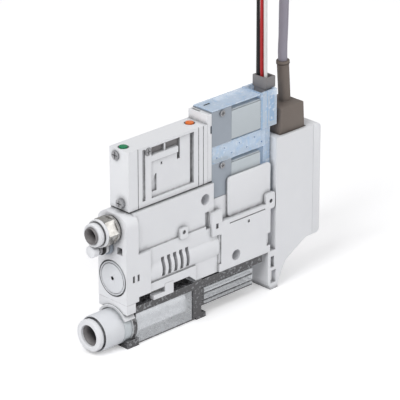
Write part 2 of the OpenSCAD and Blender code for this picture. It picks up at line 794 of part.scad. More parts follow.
seat_x = [upper_end, upper_end + seat_len];
solenoid_x = [seat_x[1], seat_x[1] + solenoid_len];
pilot_z = shelf_z + pilot_h + spacer_h;
pilot_bases = [shelf_z, pilot_z];
pilot_w = 10;
pilot_axis = pilot_h / 2;
yoke_h = pilot_h - 1.4;
coil_cavity_r = 4.3;
armature_len = 8;
armature_x = seat_x[1] - 2;
core_x = armature_x + armature_len + armature_travel + 0.2;
pilot_screw = [5, 12.2];

// The children on the lower and the upper pilot valve
module both_pilots() {
    for (z = pilot_bases) translate([0, 0, z]) children();
}

module pilot_seats() color(slate_blue) placed() both_pilots() difference() {
    slab(seat_x, pilot_w, [0, pilot_h]);
    rod([armature_x - 1, seat_x[1] + over], armature_r + run_gap, pilot_axis);
    cross_rod([-pilot_w, 3 - pilot_w / 2], 0.8, seat_x[0] + pilot_screw[0], pilot_screw[1]);
}

spacer_x = [seat_x[0] + 0.2, shelf_end - 0.1];
spacer_z = [shelf_z + pilot_h, pilot_z];

module pilot_spacer() color(clear_blue) placed() difference() {
    slab(spacer_x, pilot_w, spacer_z);
    slab([spacer_x[0] + 1, spacer_x[1] - 1], pilot_w - 2.6, [spacer_z[0] + 1, spacer_z[1] - 1]);
    dot_pitch = (spacer_x[1] - spacer_x[0]) / 7;
    for (i = [0:6]) both_sides()
        cross_rod([-pilot_w, 0.8 - pilot_w / 2], 0.35, spacer_x[0] + (i + 0.6) * dot_pitch,
            (spacer_z[0] + spacer_z[1]) / 2 + 1.4 * (i % 2 * 2 - 1));
}

module solenoids() color(pale_slate) placed() both_pilots() difference() {
    slab(solenoid_x, pilot_w, [0, yoke_h]);
    rod([solenoid_x[0] - over, solenoid_x[1] - 1.2], coil_cavity_r, pilot_axis);
    // Shallow frame round each side plate
    both_sides() for (z = [-over, yoke_h - 0.5])
        block([solenoid_x[0] - over, solenoid_x[1] + over], [-pilot_w, 0.4 - pilot_w / 2],
            [z, z + 0.5 + over]);
}

module pilot_coils() color([0.75, 0.4, 0.2]) placed() both_pilots()
    tube([solenoid_x[0], solenoid_x[1] - 1.2], coil_cavity_r - seat_gap,
        armature_r + run_gap, pilot_axis);

module pilot_cores() color(nickel) placed() both_pilots()
    rod([core_x, solenoid_x[1] - 1.2], armature_r, pilot_axis);

module armature(z) {
    rod([armature_x, armature_x + armature_len], armature_r, z + pilot_axis);
}

module upper_armature() color(nickel) placed() armature(pilot_bases[1]);

module lower_armature() color(nickel) placed() armature(pilot_bases[0]);

// Start of the sensor housing
sensor_x = body_len + sensor_gap;
tower_x = [solenoid_x[1], solenoid_x[1] + tower_len];
tower_top = pilot_z + pilot_h + 0.6;
tower_wall = 0.8;
tower_floor = pilot_z + 1.6;
column_x = [shelf_end + 0.1, sensor_x - 0.2];
column_w = 8.4;
board_t = 1;
pin_r = 0.32;
pin_x = tower_x[0] + 5.6;
wire_pitch = 1.9;
connector_x = [pin_x - 1.5, pin_x - 1.5 + connector_len];
connector_floor = tower_top + 1.9;
plug_depth = 5.4;

module connector_housing() color(clear_blue) placed() difference() {
    union() {
        slab(tower_x, pilot_w, [pilot_z, tower_top]);
        slab(column_x, column_w, [deck_z, pilot_z + over]);
    }
    slab([tower_x[0] + tower_wall, tower_x[1] - tower_wall], pilot_w - 2 * tower_wall,
        [tower_floor, tower_top + over]);
    slab([column_x[0] + tower_wall, column_x[1] - tower_wall], column_w - 2 * tower_wall,
        [deck_z - over, tower_floor - 1]);
}

module circuit_board() color([0.1, 0.35, 0.2]) placed()
    slab([tower_x[0] + tower_wall + 0.1, tower_x[1] - tower_wall - 0.1],
        pilot_w - 2 * tower_wall - 0.2, [tower_floor, tower_floor + board_t]);

module contact_pins() color([0.85, 0.7, 0.4]) placed()
    for (y = [-wire_pitch, 0, wire_pitch])
        post([tower_floor + board_t, tower_top - plug_depth + 3], pin_r, pin_x, y);

module wire_connector() color([0.45, 0.42, 0.4]) placed() difference() {
    union() {
        slab(connector_x, connector_w, [tower_top, connector_top]);
        slab([connector_x[0] + 0.3, tower_x[1] - tower_wall - 0.15], connector_w - 1,
            [tower_top - plug_depth, tower_top + over]);
    }
    slab([connector_x[0] + 0.7, connector_x[1] - 0.7], connector_w - 1.4,
        [connector_floor, connector_top + over]);
    for (y = [-wire_pitch, 0, wire_pitch])
        post([0, tower_top - plug_depth + 3.1], pin_r + 0.05, pin_x, y);
}

module side_cover() color(white_grey) placed()
    round_plate([seat_x[1] - 2.8, column_x[1] - 1.4], [-shelf_w / 2 - 1, -shelf_w / 2],
        [deck_z, body_top], 1.5);

module screw_head(r, t) {
    difference() {
        cylinder(h = t, r = r);
        for (a = [0, 90]) rotate([0, 0, a]) translate([-r * 0.7, -0.2, t - 0.4])
            cube([r * 1.4, 0.4, 1]);
    }
}

// Screws that hold the valve block's panel, the valve block and the pilot valves
module small_screws() color([0.75, 0.75, 0.77]) placed() {
    translate([block_x, front_screw[0], front_screw[1]]) rotate([0, -90, 0])
        screw_head(1.75, 1.5);
    rod([block_x - over / 2, block_x + 3.2], 0.9, front_screw[1], front_screw[0]);
    translate([panel_screw[0], panel_skin, panel_screw[1]]) rotate([90, 0, 0])
        screw_head(panel_screw_r, 0.8);
    cross_rod([panel_skin - 0.2, 2.5 - block_w / 2], 0.7, panel_screw[0], panel_screw[1]);
    both_pilots() {
        translate([seat_x[0] + pilot_screw[0], -pilot_w / 2, pilot_screw[1]])
            rotate([90, 0, 0]) screw_head(1.2, 0.6);
        cross_rod([-pilot_w / 2 - 0.2, 2.9 - pilot_w / 2], 0.75,
            seat_x[0] + pilot_screw[0], pilot_screw[1]);
    }
}

// ---- Pressure sensor ----

cover_x = [sensor_x + sensor_len - cover_len, sensor_x + sensor_len];
pocket_floor = sensor_top - 4;
cavity_top = pocket_floor - 1;
cover_corner = 2;
plug_middle = sensor_x + 10;
plug_top_x = [plug_middle - sensor_plug_len / 2, plug_middle + sensor_plug_len / 2];
plug_flare = 0.8;
plug_clear = 0.1;
pocket_x = [plug_top_x[0] - plug_flare - 0.3, plug_top_x[1] + plug_flare + 0.3];
sensor_pin_x = [for (i = [-1.5:1:1.5]) plug_middle - sensor_x + 2 * i];
sensor_board_y = 1;
sleeve_x = plug_middle + 1.75;
board_x = [sensor_x + 3, cover_x[0] - 0.8];
chip_x = board_x[0] + 4;
chip_z = sensor_z + 10;
chip_side = 7;
chip_t = 3;
sleeve_tilt = 4;
sleeve_len = 16.2;
sleeve_flare = 0.25;

// Outline of the bracket under the housing, measured from the housing's front
bracket_outline = [[-3.9, 3.3], [-2.5, 0], [1.4, 0], [1.4, 1.6], [4, 7], [5.8, 9.9],
    [9.9, 12.4], [16.5, sensor_z], [16.5, sensor_z + 1], [0, sensor_z + 1], [0, body_heel],
    [-3.9, body_heel]];

module housing_solid() {
    slab([sensor_x, cover_x[0]], body_w, [sensor_z, sensor_top]);
    difference() {
        translate([sensor_x, 0, 0]) side_profile(bracket_outline, [-body_w / 2, body_w / 2]);
        slab([sensor_x - 2.7, sensor_x + 20], body_w - 4.4, [1.2, sensor_z - 1.4]);
        slab([sensor_x - 2.5, sensor_x - 0.6], body_w + over, [9.1, 13.6]);
        slab([sensor_x - 2.45, sensor_x + 0.3], body_w + over, [2.6, 7.8]);
    }
    rod([body_len - spigot_len + 0.2, sensor_x + over], spigot_r, spigot_z);
}

module sensor_housing() color(white_grey) placed() difference() {
    housing_solid();
    slab([sensor_x + sensor_wall, cover_x[0] + over], body_w - 2 * sensor_wall,
        [sensor_z + sensor_wall, cavity_top]);
    slab(pocket_x, body_w - 2 * sensor_wall, [pocket_floor, sensor_top + over]);
    rod([body_len - spigot_len, sensor_x + 2 * over], 0.8, spigot_z);
    for (x = sensor_pin_x)
        post([cavity_top - over, pocket_floor + over], 0.4, sensor_x + x, sensor_board_y + 0.5);
}

module sensor_cover() color(white_grey) placed() difference() {
    union() {
        slab([cover_x[0], cover_x[1] - cover_corner], body_w, [sensor_z, sensor_top]);
        slab(cover_x, body_w, [sensor_z + cover_corner, sensor_top - cover_corner]);
        for (z = [sensor_z + cover_corner, sensor_top - cover_corner])
            cross_rod([-body_w / 2, body_w / 2], cover_corner, cover_x[1] - cover_corner, z);
    }
    slab([cover_x[0] - over, cover_x[1] - sensor_wall], body_w - 2 * sensor_wall,
        [sensor_z + sensor_wall, cavity_top]);
}

module sensor_board() color([0.1, 0.35, 0.2]) placed()
    block(board_x, [sensor_board_y, sensor_board_y + board_t],
        [sensor_z + sensor_wall, cavity_top - 1]);

module sensor_chip() color([0.15, 0.15, 0.16]) placed() {
    block([chip_x, chip_x + chip_side], [sensor_board_y - chip_t, sensor_board_y],
        [chip_z, chip_z + chip_side]);
    block([chip_x, chip_x + 1.2 * chip_side], [sensor_board_y - chip_t / 2, sensor_board_y],
        [chip_z + 2 * chip_side, chip_z + 3 * chip_side]);
}

module sensor_pins() color([0.85, 0.7, 0.4]) placed()
    for (x = sensor_pin_x)
        post([cavity_top - 1, pocket_floor + 5], pin_r, sensor_x + x, sensor_board_y + 0.5);

// The children placed on the sleeve's leaning axis, starting on top of the plug
module on_sleeve() {
    translate([sleeve_x, 0, sensor_plug_top]) rotate([0, -sleeve_tilt, 0]) children();
}

module sensor_plug() color(taupe) placed() difference() {
    union() {
        side_profile([[plug_top_x[0] - plug_flare, pocket_floor + plug_clear],
            [plug_top_x[1] + plug_flare, pocket_floor + plug_clear],
            [plug_top_x[1], sensor_plug_top], [plug_top_x[0], sensor_plug_top]],
            [-sensor_plug_w / 2, sensor_plug_w / 2]);
        on_sleeve() translate([0, 0, -over]) cylinder(h = sleeve_len + over, r = sleeve_r);
        on_sleeve() translate([0, 0, sleeve_len - 1.2])
            cylinder(h = 1.2, r = sleeve_r + sleeve_flare);
    }
    for (x = sensor_pin_x)
        post([0, pocket_floor + 5.2], pin_r + 0.05, sensor_x + x, sensor_board_y + 0.5);
}

// ---- Cords ----

// Unit vector, headings along a route, and a sideways direction carried along it
function unit(v) = v / norm(v);
function headings(p) = [for (i = [0:len(p) - 1])
    unit(p[min(i + 1, len(p) - 1)] - p[max(i - 1, 0)])];
function across(side, heading) = unit(side - (side * heading) * heading);
function sides(h, side, i = 0) = i == len(h) ? [] :
    let(s = across(side, h[i])) concat([s], sides(h, s, i + 1));

// Closed tube of eight sides along a route of points
module cord(route, r) {
    n = 8;
    last = len(route) - 1;
    h = headings(route);
    s = sides(h, [0.7, -0.7, 0]);
    points = [for (i = [0:last], k = [0:n - 1])
        route[i] + r * (cos(360 * k / n) * s[i] + sin(360 * k / n) * cross(h[i], s[i]))];
    walls = [for (i = [0:last - 1], k = [0:n - 1], t = [0, 1])
        let(a = i * n + k, b = i * n + (k + 1) % n)
        t == 0 ? [a, a + n, b + n] : [a, b + n, b]];
    ends = [[for (k = [0:n - 1]) k], [for (k = [0:n - 1]) last * n + n - 1 - k]];
    polyhedron(points, concat(walls, ends));
}

// Route of the valve wires: up from the connector, over and down behind the object, then
// straight along the floor beside it. Each wire keeps its place beside the others.
wire_start = [front_x + pin_x, 0, connector_floor];
wire_air = [[31.6, 0, 116], [32.5, 0.9, 122], [35, 3.4, 126.2], [38.8, 7, 127.8],
    [42.5, 10.6, 126.2], [45, 13.1, 122], [45.9, 14, 116], [48.8, 16.8, 80],
    [51.6, 19.6, 40], [52.5, 20.8, 20], [51.4, 21.6, 9.5], [47.6, 22, 3]];
wire_floor = [[41.5, 22, 0], [-27, 22, 0]];
wire_route = concat([wire_start], wire_air, [for (p = wire_floor) p + [0, 0, wire_r]]);

function beside(route, place) = [for (p = route) p + [0, place * wire_pitch, 0]];

module black_wire() color([0.1, 0.1, 0.1]) cord(beside(wire_route, 1), wire_r);

module red_wire() color([0.7, 0.15, 0.15]) cord(beside(wire_route, 0), wire_r);

module white_wire() color([0.9, 0.9, 0.9]) cord(beside(wire_route, -1), wire_r);

// Route of the sensor cable, from the end of the plug's sleeve to the hank on the floor
sleeve_dir = [-sin(sleeve_tilt), 0, cos(sleeve_tilt)];
cable_start = [front_x + sleeve_x, 0, sensor_plug_top] + sleeve_len * sleeve_dir;
cable_fall = [[43.1, 0, 100], [43.5, 0, 118], [45, 1.4, 125.5], [48.9, 5.2, 131],
    [54.3, 10.4, 133], [59.7, 15.6, 131], [63.7, 19.4, 125.5], [65.1, 20.8, 118],
    [67.4, 23.6, 90], [69.2, 24.4, 50], [70.3, 24.5, 30], [70.6, 24.5, 18],
    [68.5, 24.5, 10.2], [62.8, 24.5, 4.1]];
cable_floor = [[55, 24.5, 0], [51.5, 24.5, 0]];
cable_route = concat([cable_start, cable_start + 3 * sleeve_dir], cable_fall,
    [for (p = cable_floor) p + [0, 0, cable_r]]);

// The rest of the cable is folded into a hank, which lies beside the cable's last stretch
tie_t = 0.6;
tie_w = 3;
hank_half = 3 * cable_r + 0.05;
hank_h = 2 * hank_layers * cable_r;
hank_x = [20.7, 20.7 + hank_run];
hank_y = cable_floor[1][1] + cable_r + 0.2 + hank_half + fold_r;
hank_bundle = [hank_y - fold_r - hank_half - 0.1, hank_y - fold_r + hank_half + 0.1];

module sensor_cable() color([0.62, 0.6, 0.66]) cord(cable_route, cable_r);

// Upright plate with two round ends, of the given end radius
module long_loop(r, z) {
    for (x = hank_x) translate([x, hank_y, z[0]]) cylinder(h = z[1] - z[0], r = r);
    block(hank_x, [hank_y - r, hank_y + r], z);
}

module cable_hank() color([0.62, 0.6, 0.66]) difference() {
    long_loop(fold_r + hank_half, [tie_t, tie_t + hank_h]);
    long_loop(fold_r - hank_half, [tie_t - over, tie_t + hank_h + over]);
}

module cable_tie() color(seal_black) difference() {
    middle = (hank_x[0] + hank_x[1]) / 2;
    block([middle - tie_w / 2, middle + tie_w / 2],
        [hank_bundle[0] - tie_t, hank_bundle[1] + tie_t], [0, hank_h + 0.1 + 2 * tie_t]);
    block([middle - tie_w, middle + tie_w], hank_bundle, [tie_t, hank_h + 0.1 + tie_t]);
}

ejector_body();
end_plug();
nozzle();
diffuser();
silencer();
seal_rings();
check_valve();
supply_fitting();
supply_guide();
supply_collet();
supply_seal();
supply_release_bush();
port_adapter();
vacuum_fitting();
vacuum_collet();
vacuum_seal();
vacuum_release_bush();
case_ring();
filter_case();
filter_element();
rear_plug();
needle();
needle_lock_nut();
needle_holder();
valve_gasket();
valve_block();
supply_spool();
release_spool();
supply_override();
release_override();
supply_override_spring();
release_override_spring();
valve_end_cap();
small_screws();
pilot_seats();
pilot_spacer();
solenoids();
pilot_coils();
pilot_cores();
upper_armature();
lower_armature();
connector_housing();
circuit_board();
contact_pins();
wire_connector();
side_cover();
sensor_housing();
sensor_cover();
sensor_board();
sensor_chip();
sensor_pins();
sensor_plug();
black_wire();
red_wire();
white_wire();
sensor_cable();
cable_hank();
cable_tie();
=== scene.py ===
import json
import math

import bmesh
import bpy
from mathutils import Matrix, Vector


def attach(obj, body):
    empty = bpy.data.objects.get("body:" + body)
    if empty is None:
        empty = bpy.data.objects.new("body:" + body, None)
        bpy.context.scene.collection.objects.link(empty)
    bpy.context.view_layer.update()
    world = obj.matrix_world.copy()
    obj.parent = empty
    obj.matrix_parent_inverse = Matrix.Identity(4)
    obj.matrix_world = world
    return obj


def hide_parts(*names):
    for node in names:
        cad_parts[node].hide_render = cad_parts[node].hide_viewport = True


# Looks of the vacuum ejector unit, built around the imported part, in metres.
# Lengths written here in millimetres go through mm() or MM.

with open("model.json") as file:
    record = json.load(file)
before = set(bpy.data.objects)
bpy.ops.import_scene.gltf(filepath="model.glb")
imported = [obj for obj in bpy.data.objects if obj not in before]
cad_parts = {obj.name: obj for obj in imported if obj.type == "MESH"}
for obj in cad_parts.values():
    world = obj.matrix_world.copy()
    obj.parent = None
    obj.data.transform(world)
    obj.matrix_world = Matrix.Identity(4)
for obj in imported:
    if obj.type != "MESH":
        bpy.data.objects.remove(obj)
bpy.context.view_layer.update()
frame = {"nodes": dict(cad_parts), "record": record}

MM = 0.001


def mm(*values):
    return tuple(v * MM for v in values)


# ---- Camera ----

CAMERA_TARGET = Vector(mm(0, 0, 43.6))
CAMERA_AZIMUTH = math.radians(-44.384)
CAMERA_ELEVATION = math.radians(23.315)
CAMERA_DISTANCE = 1.1
CAMERA_LENS = 269.775


def make_camera():
    data = bpy.data.cameras.new("camera")
    data.lens = CAMERA_LENS
    data.sensor_width = 36
    data.clip_start, data.clip_end = 0.05, 20
    camera = bpy.data.objects.new("camera", data)
    bpy.context.collection.objects.link(camera)
    flat = math.cos(CAMERA_ELEVATION)
    back = Vector((math.sin(CAMERA_AZIMUTH) * flat, -math.cos(CAMERA_AZIMUTH) * flat,
                   math.sin(CAMERA_ELEVATION)))
    camera.location = CAMERA_TARGET + back * CAMERA_DISTANCE
    camera.rotation_mode = "QUATERNION"
    camera.rotation_quaternion = (-back).to_track_quat("-Z", "Y")
    bpy.context.scene.camera = camera


make_camera()


# ---- Colours and shared surface effects ----

def tint(red, green, blue):
    """A colour named by its 0-255 display values, as linear RGBA."""
    def linear(v):
        v /= 255
        return v / 12.92 if v <= 0.04045 else ((v + 0.055) / 1.055) ** 2.4
    return (linear(red), linear(green), linear(blue), 1)


class Tree:
    """Short ways of adding nodes and links to one node tree."""

    def __init__(self, tree):
        self.tree = tree

    def add(self, kind, **settings):
        node = self.tree.nodes.new(kind)
        for name, value in settings.items():
            setattr(node, name, value)
        return node

    def join(self, source, target):
        self.tree.links.new(source, target)

    def noise(self, place, scale, detail=2.0, roughness=0.5):
        node = self.add("ShaderNodeTexNoise")
        node.inputs["Scale"].default_value = scale
        node.inputs["Detail"].default_value = detail
        node.inputs["Roughness"].default_value = roughness
        self.join(place, node.inputs["Vector"])
        return node.outputs["Fac"]

    def sums(self, operation, first, second, third=None):
        node = self.add("ShaderNodeMath", operation=operation)
        for socket, value in zip(node.inputs, (first, second, third)):
            if value is None:
                continue
            if isinstance(value, (int, float)):
                socket.default_value = value
            else:
                self.join(value, socket)
        return node.outputs[0]

    def spread(self, value, low, high, out_low, out_high):
        node = self.add("ShaderNodeMapRange")
        for name, number in (("From Min", low), ("From Max", high),
                             ("To Min", out_low), ("To Max", out_high)):
            node.inputs[name].default_value = number
        self.join(value, node.inputs["Value"])
        return node.outputs["Result"]

    def mix(self, share, first, second):
        node = self.add("ShaderNodeMix", data_type="RGBA")
        for socket, value in ((node.inputs["Factor"], share), (node.inputs["A"], first),
                              (node.inputs["B"], second)):
            if isinstance(value, (int, float, tuple)):
                socket.default_value = value
            else:
                self.join(value, socket)
        return node.outputs["Result"]

    def effect(self, group, **values):
        """Places a shared effect with its own values, and gives its outputs."""
        node = self.add("ShaderNodeGroup", node_tree=group)
        for name, value in values.items():
            node.inputs[name].default_value = value
        return node.outputs


def new_group(name, inputs, outputs):
    group = bpy.data.node_groups.new(name, "ShaderNodeTree")
    for label, kind, value in inputs:
        socket = group.interface.new_socket(label, in_out="INPUT", socket_type=kind)
        socket.default_value = value
    for label, kind in outputs:
        group.interface.new_socket(label, in_out="OUTPUT", socket_type=kind)
    tree = Tree(group)
    return group, tree, tree.add("NodeGroupInput"), tree.add("NodeGroupOutput")


COLOUR, VALUE, NORMAL = "NodeSocketColor", "NodeSocketFloat", "NodeSocketVector"


def moulded_skin():
    """Plastic straight from a mould: faint flow shading, fine spark-eroded grain."""
    group, tree, given, out = new_group(
        "moulded_skin",
        [("Colour", COLOUR, (0.8, 0.8, 0.8, 1)), ("Shade", COLOUR, (0.7, 0.7, 0.7, 1)),
         ("Roughness", VALUE, 0.5), ("Grain", VALUE, 0.1)],
        [("Colour", COLOUR), ("Roughness", VALUE), ("Normal", NORMAL)])
    place = tree.add("ShaderNodeTexCoord").outputs["Object"]
    flow = tree.noise(place, 70, 3, 0.55)
    share = tree.spread(flow, 0.35, 0.75, 0.0, 0.35)
    tree.join(tree.mix(share, given.outputs["Colour"], given.outputs["Shade"]),
              out.inputs["Colour"])
    fine = tree.noise(place, 5200, 2, 0.6)
    rough = tree.sums("ADD", given.outputs["Roughness"],
                      tree.spread(flow, 0.3, 0.7, -0.04, 0.05))
    tree.join(rough, out.inputs["Roughness"])
    edge = tree.add("ShaderNodeBevel", samples=4)
    edge.inputs["Radius"].default_value = 0.2 * MM
    bump = tree.add("ShaderNodeBump")
    tree.join(edge.outputs["Normal"], bump.inputs["Normal"])
    bump.inputs["Distance"].default_value = 0.00003
    tree.join(given.outputs["Grain"], bump.inputs["Strength"])
    tree.join(fine, bump.inputs["Height"])
    tree.join(bump.outputs["Normal"], out.inputs["Normal"])
    return group


def painted_edge_highlight():
    """Mask of edges, where a painted highlight brightens the colour."""
    group, tree, given, out = new_group(
        "painted_edge_highlight", [("Amount", VALUE, 0.5)], [("Mask", VALUE)])
    rounded = tree.add("ShaderNodeBevel", samples=4)
    rounded.inputs["Radius"].default_value = 0.22 * MM
    true = tree.add("ShaderNodeNewGeometry").outputs["Normal"]
    turn = tree.add("ShaderNodeVectorMath", operation="DOT_PRODUCT")
    tree.join(rounded.outputs["Normal"], turn.inputs[0])
    tree.join(true, turn.inputs[1])
    place = tree.add("ShaderNodeTexCoord").outputs["Object"]
    edge = tree.spread(turn.outputs["Value"], 0.8, 0.99, 1, 0)
    broken = tree.spread(tree.noise(place, 900, 3, 0.6), 0.35, 0.6, 0.5, 1)
    both = tree.sums("MULTIPLY", edge, broken)
    tree.join(tree.sums("MULTIPLY", both, given.outputs["Amount"]), out.inputs["Mask"])
    return group


def painted_corner_shade():
    """Mask of inner corners, where painted shade darkens the colour."""
    group, tree, given, out = new_group(
        "painted_corner_shade", [("Amount", VALUE, 0.5)], [("Mask", VALUE)])
    hollow = tree.add("ShaderNodeAmbientOcclusion", samples=6)
    hollow.inputs["Distance"].default_value = 0.0022
    place = tree.add("ShaderNodeTexCoord").outputs["Object"]
    corner = tree.spread(hollow.outputs["AO"], 0.45, 0.97, 1, 0)
    broken = tree.spread(tree.noise(place, 600, 3, 0.6), 0.3, 0.65, 0.6, 1)
    both = tree.sums("MULTIPLY", corner, broken)
    tree.join(tree.sums("MULTIPLY", both, given.outputs["Amount"]), out.inputs["Mask"])
    return group


def turned_metal():
    """Fine tool marks and uneven plating on machined metal."""
    group, tree, given, out = new_group(
        "turned_metal",
        [("Colour", COLOUR, (0.7, 0.68, 0.65, 1)), ("Shade", COLOUR, (0.5, 0.48, 0.45, 1)),
         ("Roughness", VALUE, 0.25)],
        [("Colour", COLOUR), ("Roughness", VALUE), ("Normal", NORMAL)])
    coords = tree.add("ShaderNodeTexCoord").outputs["Object"]
    stretch = tree.add("ShaderNodeMapping")
    stretch.inputs["Scale"].default_value = (14, 1, 1)
    tree.join(coords, stretch.inputs["Vector"])
    marks = tree.noise(stretch.outputs["Vector"], 420, 2, 0.6)
    cloud = tree.noise(coords, 260, 3, 0.6)
    tree.join(tree.mix(tree.spread(cloud, 0.35, 0.7, 0, 0.7), given.outputs["Colour"],
                       given.outputs["Shade"]), out.inputs["Colour"])
    tree.join(tree.sums("ADD", given.outputs["Roughness"],
                        tree.spread(cloud, 0.3, 0.7, -0.05, 0.1)), out.inputs["Roughness"])
    edge = tree.add("ShaderNodeBevel", samples=4)
    edge.inputs["Radius"].default_value = 0.12 * MM
    bump = tree.add("ShaderNodeBump")
    tree.join(edge.outputs["Normal"], bump.inputs["Normal"])
    bump.inputs["Distance"].default_value = 0.00002
    bump.inputs["Strength"].default_value = 0.35
    tree.join(marks, bump.inputs["Height"])
    tree.join(bump.outputs["Normal"], out.inputs["Normal"])
    return group


SKIN, EDGE_HIGHLIGHT, CORNER_SHADE, TURNED = moulded_skin(), painted_edge_highlight(), painted_corner_shade(), turned_metal()


def start_material(name, alpha):
    material = bpy.data.materials.new(name)
    material.use_nodes = True
    tree = Tree(material.node_tree)
    surface = next(n for n in material.node_tree.nodes if n.type == "BSDF_PRINCIPLED")
    surface.inputs["Alpha"].default_value = alpha
    return material, tree, surface


def plastic(name, colour, shade, roughness=0.45, grain=0.12, highlight_amount=0.35, shade_in_corners=0.5,
            alpha=1.0, coat=0.0, glow=0.0):
    """Moulded plastic or rubber, opaque or see-through."""
    material, tree, surface = start_material(name, alpha)
    skin = tree.effect(SKIN, Colour=colour, Shade=shade, Roughness=roughness, Grain=grain)
    edges = tree.effect(EDGE_HIGHLIGHT, Amount=highlight_amount)
    corners = tree.effect(CORNER_SHADE, Amount=shade_in_corners)
    # Edges take a painted highlight and inner corners a painted shade.
    highlight_colour = tuple(min(1.0, c * 1.12 + 0.04) for c in colour[:3]) + (1,)
    corner_shade_colour = tuple(c * 0.26 for c in colour[:3]) + (1,)
    look = tree.mix(edges["Mask"], skin["Colour"], highlight_colour)
    look = tree.mix(corners["Mask"], look, corner_shade_colour)
    tree.join(look, surface.inputs["Base Color"])
    tree.join(skin["Roughness"], surface.inputs["Roughness"])
    tree.join(skin["Normal"], surface.inputs["Normal"])
    surface.inputs["IOR"].default_value = 1.46
    surface.inputs["Coat Weight"].default_value = coat
    surface.inputs["Coat Roughness"].default_value = 0.12
    if alpha < 1:
        facing = tree.add("ShaderNodeLayerWeight")
        facing.inputs["Blend"].default_value = 0.35
        rim = tree.spread(facing.outputs["Facing"], 0, 1, alpha, min(1.0, alpha + 0.35))
        tree.join(rim, surface.inputs["Alpha"])
    if glow:
        surface.inputs["Emission Color"].default_value = colour
        surface.inputs["Emission Strength"].default_value = glow
    return material


# Where the clear case is thickest, as ranges of X and Z in millimetres
THICK_CASE = (((-44, -38), (-1, 3.2)), ((-40.4, -38.6), (-1, 14.5)), ((-10.4, -3.4), (-1, 16)),
              ((-60, 60), (12.4, 16)), ((-7, 40), (5.6, 6.4)), ((-7, 40), (8.3, 9.1)),
              ((-7, 40), (11, 11.8)), ((-60, 60), (-1, 0.7)), ((-7, 40), (4, 4.7)))

# Where looking through the clear tower meets its inner walls
THICK_TOWER = (((26.4, 27.4), (65, 80)), ((29.6, 30.2), (66, 80)), ((31, 33.6), (67.4, 77.5)))

# Light caught along the rims and in the flaws of clear plastic
BRIGHT_LINE = (0.86, 0.9, 0.94, 1)
BRIGHT_SPARK = (0.9, 0.94, 0.98, 1)


def inside_ranges(tree, ranges):
    """Mask that is one inside any of the given ranges of X and Z."""
    place = tree.add("ShaderNodeTexCoord").outputs["Object"]
    parts = tree.add("ShaderNodeSeparateXYZ")
    tree.join(place, parts.inputs["Vector"])
    total = None
    for xs, zs in ranges:
        mask = None
        for axis, limits in (("X", xs), ("Z", zs)):
            above = tree.sums("GREATER_THAN", parts.outputs[axis], limits[0] * MM)
            below = tree.sums("LESS_THAN", parts.outputs[axis], limits[1] * MM)
            both = tree.sums("MULTIPLY", above, below)
            mask = both if mask is None else tree.sums("MULTIPLY", mask, both)
        total = mask if total is None else tree.sums("MAXIMUM", total, mask)
    return total


def clear_plastic(name, colour, edge_colour, alpha, roughness, thick=(), glow=0.0, line=0.6,
                  thick_share=1.0, glints=0.2):
    """See-through moulded plastic: pale where looked through, deep at rims and corners."""
    material, tree, surface = start_material(name, alpha)
    shade = tuple(c * 0.9 for c in colour[:3]) + (1,)
    skin = tree.effect(SKIN, Colour=colour, Shade=shade, Roughness=roughness, Grain=0.03)
    corners = tree.effect(CORNER_SHADE, Amount=0.6)
    edges = tree.effect(EDGE_HIGHLIGHT, Amount=line)
    facing = tree.add("ShaderNodeLayerWeight")
    facing.inputs["Blend"].default_value = 0.3
    rim = tree.spread(facing.outputs["Facing"], 0.5, 1, 0, 0.8)
    # Inner corners join the deep colour as painted shade.
    deep = tree.sums("MAXIMUM", rim, corners["Mask"])
    if thick:
        walls = tree.sums("MULTIPLY", inside_ranges(tree, thick), thick_share)
        deep = tree.sums("MAXIMUM", deep, walls)
    place = tree.add("ShaderNodeTexCoord").outputs["Object"]
    pools = tree.spread(tree.noise(place, 330, 2, 0.5), 0.5, 0.7, 0, glints)
    deep = tree.sums("MAXIMUM", deep, pools)
    look = tree.mix(deep, skin["Colour"], edge_colour)
    look = tree.mix(edges["Mask"], look, BRIGHT_LINE)
    sparks = tree.spread(tree.noise(place, 760, 2, 0.55), 0.56, 0.66, 0, glints)
    look = tree.mix(sparks, look, BRIGHT_SPARK)
    tree.join(look, surface.inputs["Base Color"])
    solid = tree.sums("MAXIMUM", deep, edges["Mask"])
    tree.join(tree.spread(solid, 0, 1, alpha, min(1.0, alpha + 0.7)), surface.inputs["Alpha"])
    tree.join(skin["Roughness"], surface.inputs["Roughness"])
    tree.join(skin["Normal"], surface.inputs["Normal"])
    surface.inputs["Coat Weight"].default_value = 0.6
    surface.inputs["Coat Roughness"].default_value = 0.06
    if glow:
        tree.join(look, surface.inputs["Emission Color"])
        tree.join(tree.spread(deep, 0, 0.7, glow, 0), surface.inputs["Emission Strength"])
    return material


def metal(name, colour, shade, roughness=0.25):
    """Machined or plated metal."""
    material, tree, surface = start_material(name, 1.0)
    marks = tree.effect(TURNED, Colour=colour, Shade=shade, Roughness=roughness)
    corners = tree.effect(CORNER_SHADE, Amount=0.5)
    # Inner corners take a painted shade.
    corner_shade_colour = tuple(c * 0.35 for c in colour[:3]) + (1,)
    tree.join(tree.mix(corners["Mask"], marks["Colour"], corner_shade_colour), surface.inputs["Base Color"])
    tree.join(marks["Roughness"], surface.inputs["Roughness"])
    tree.join(marks["Normal"], surface.inputs["Normal"])
    surface.inputs["Metallic"].default_value = 1.0
    return material


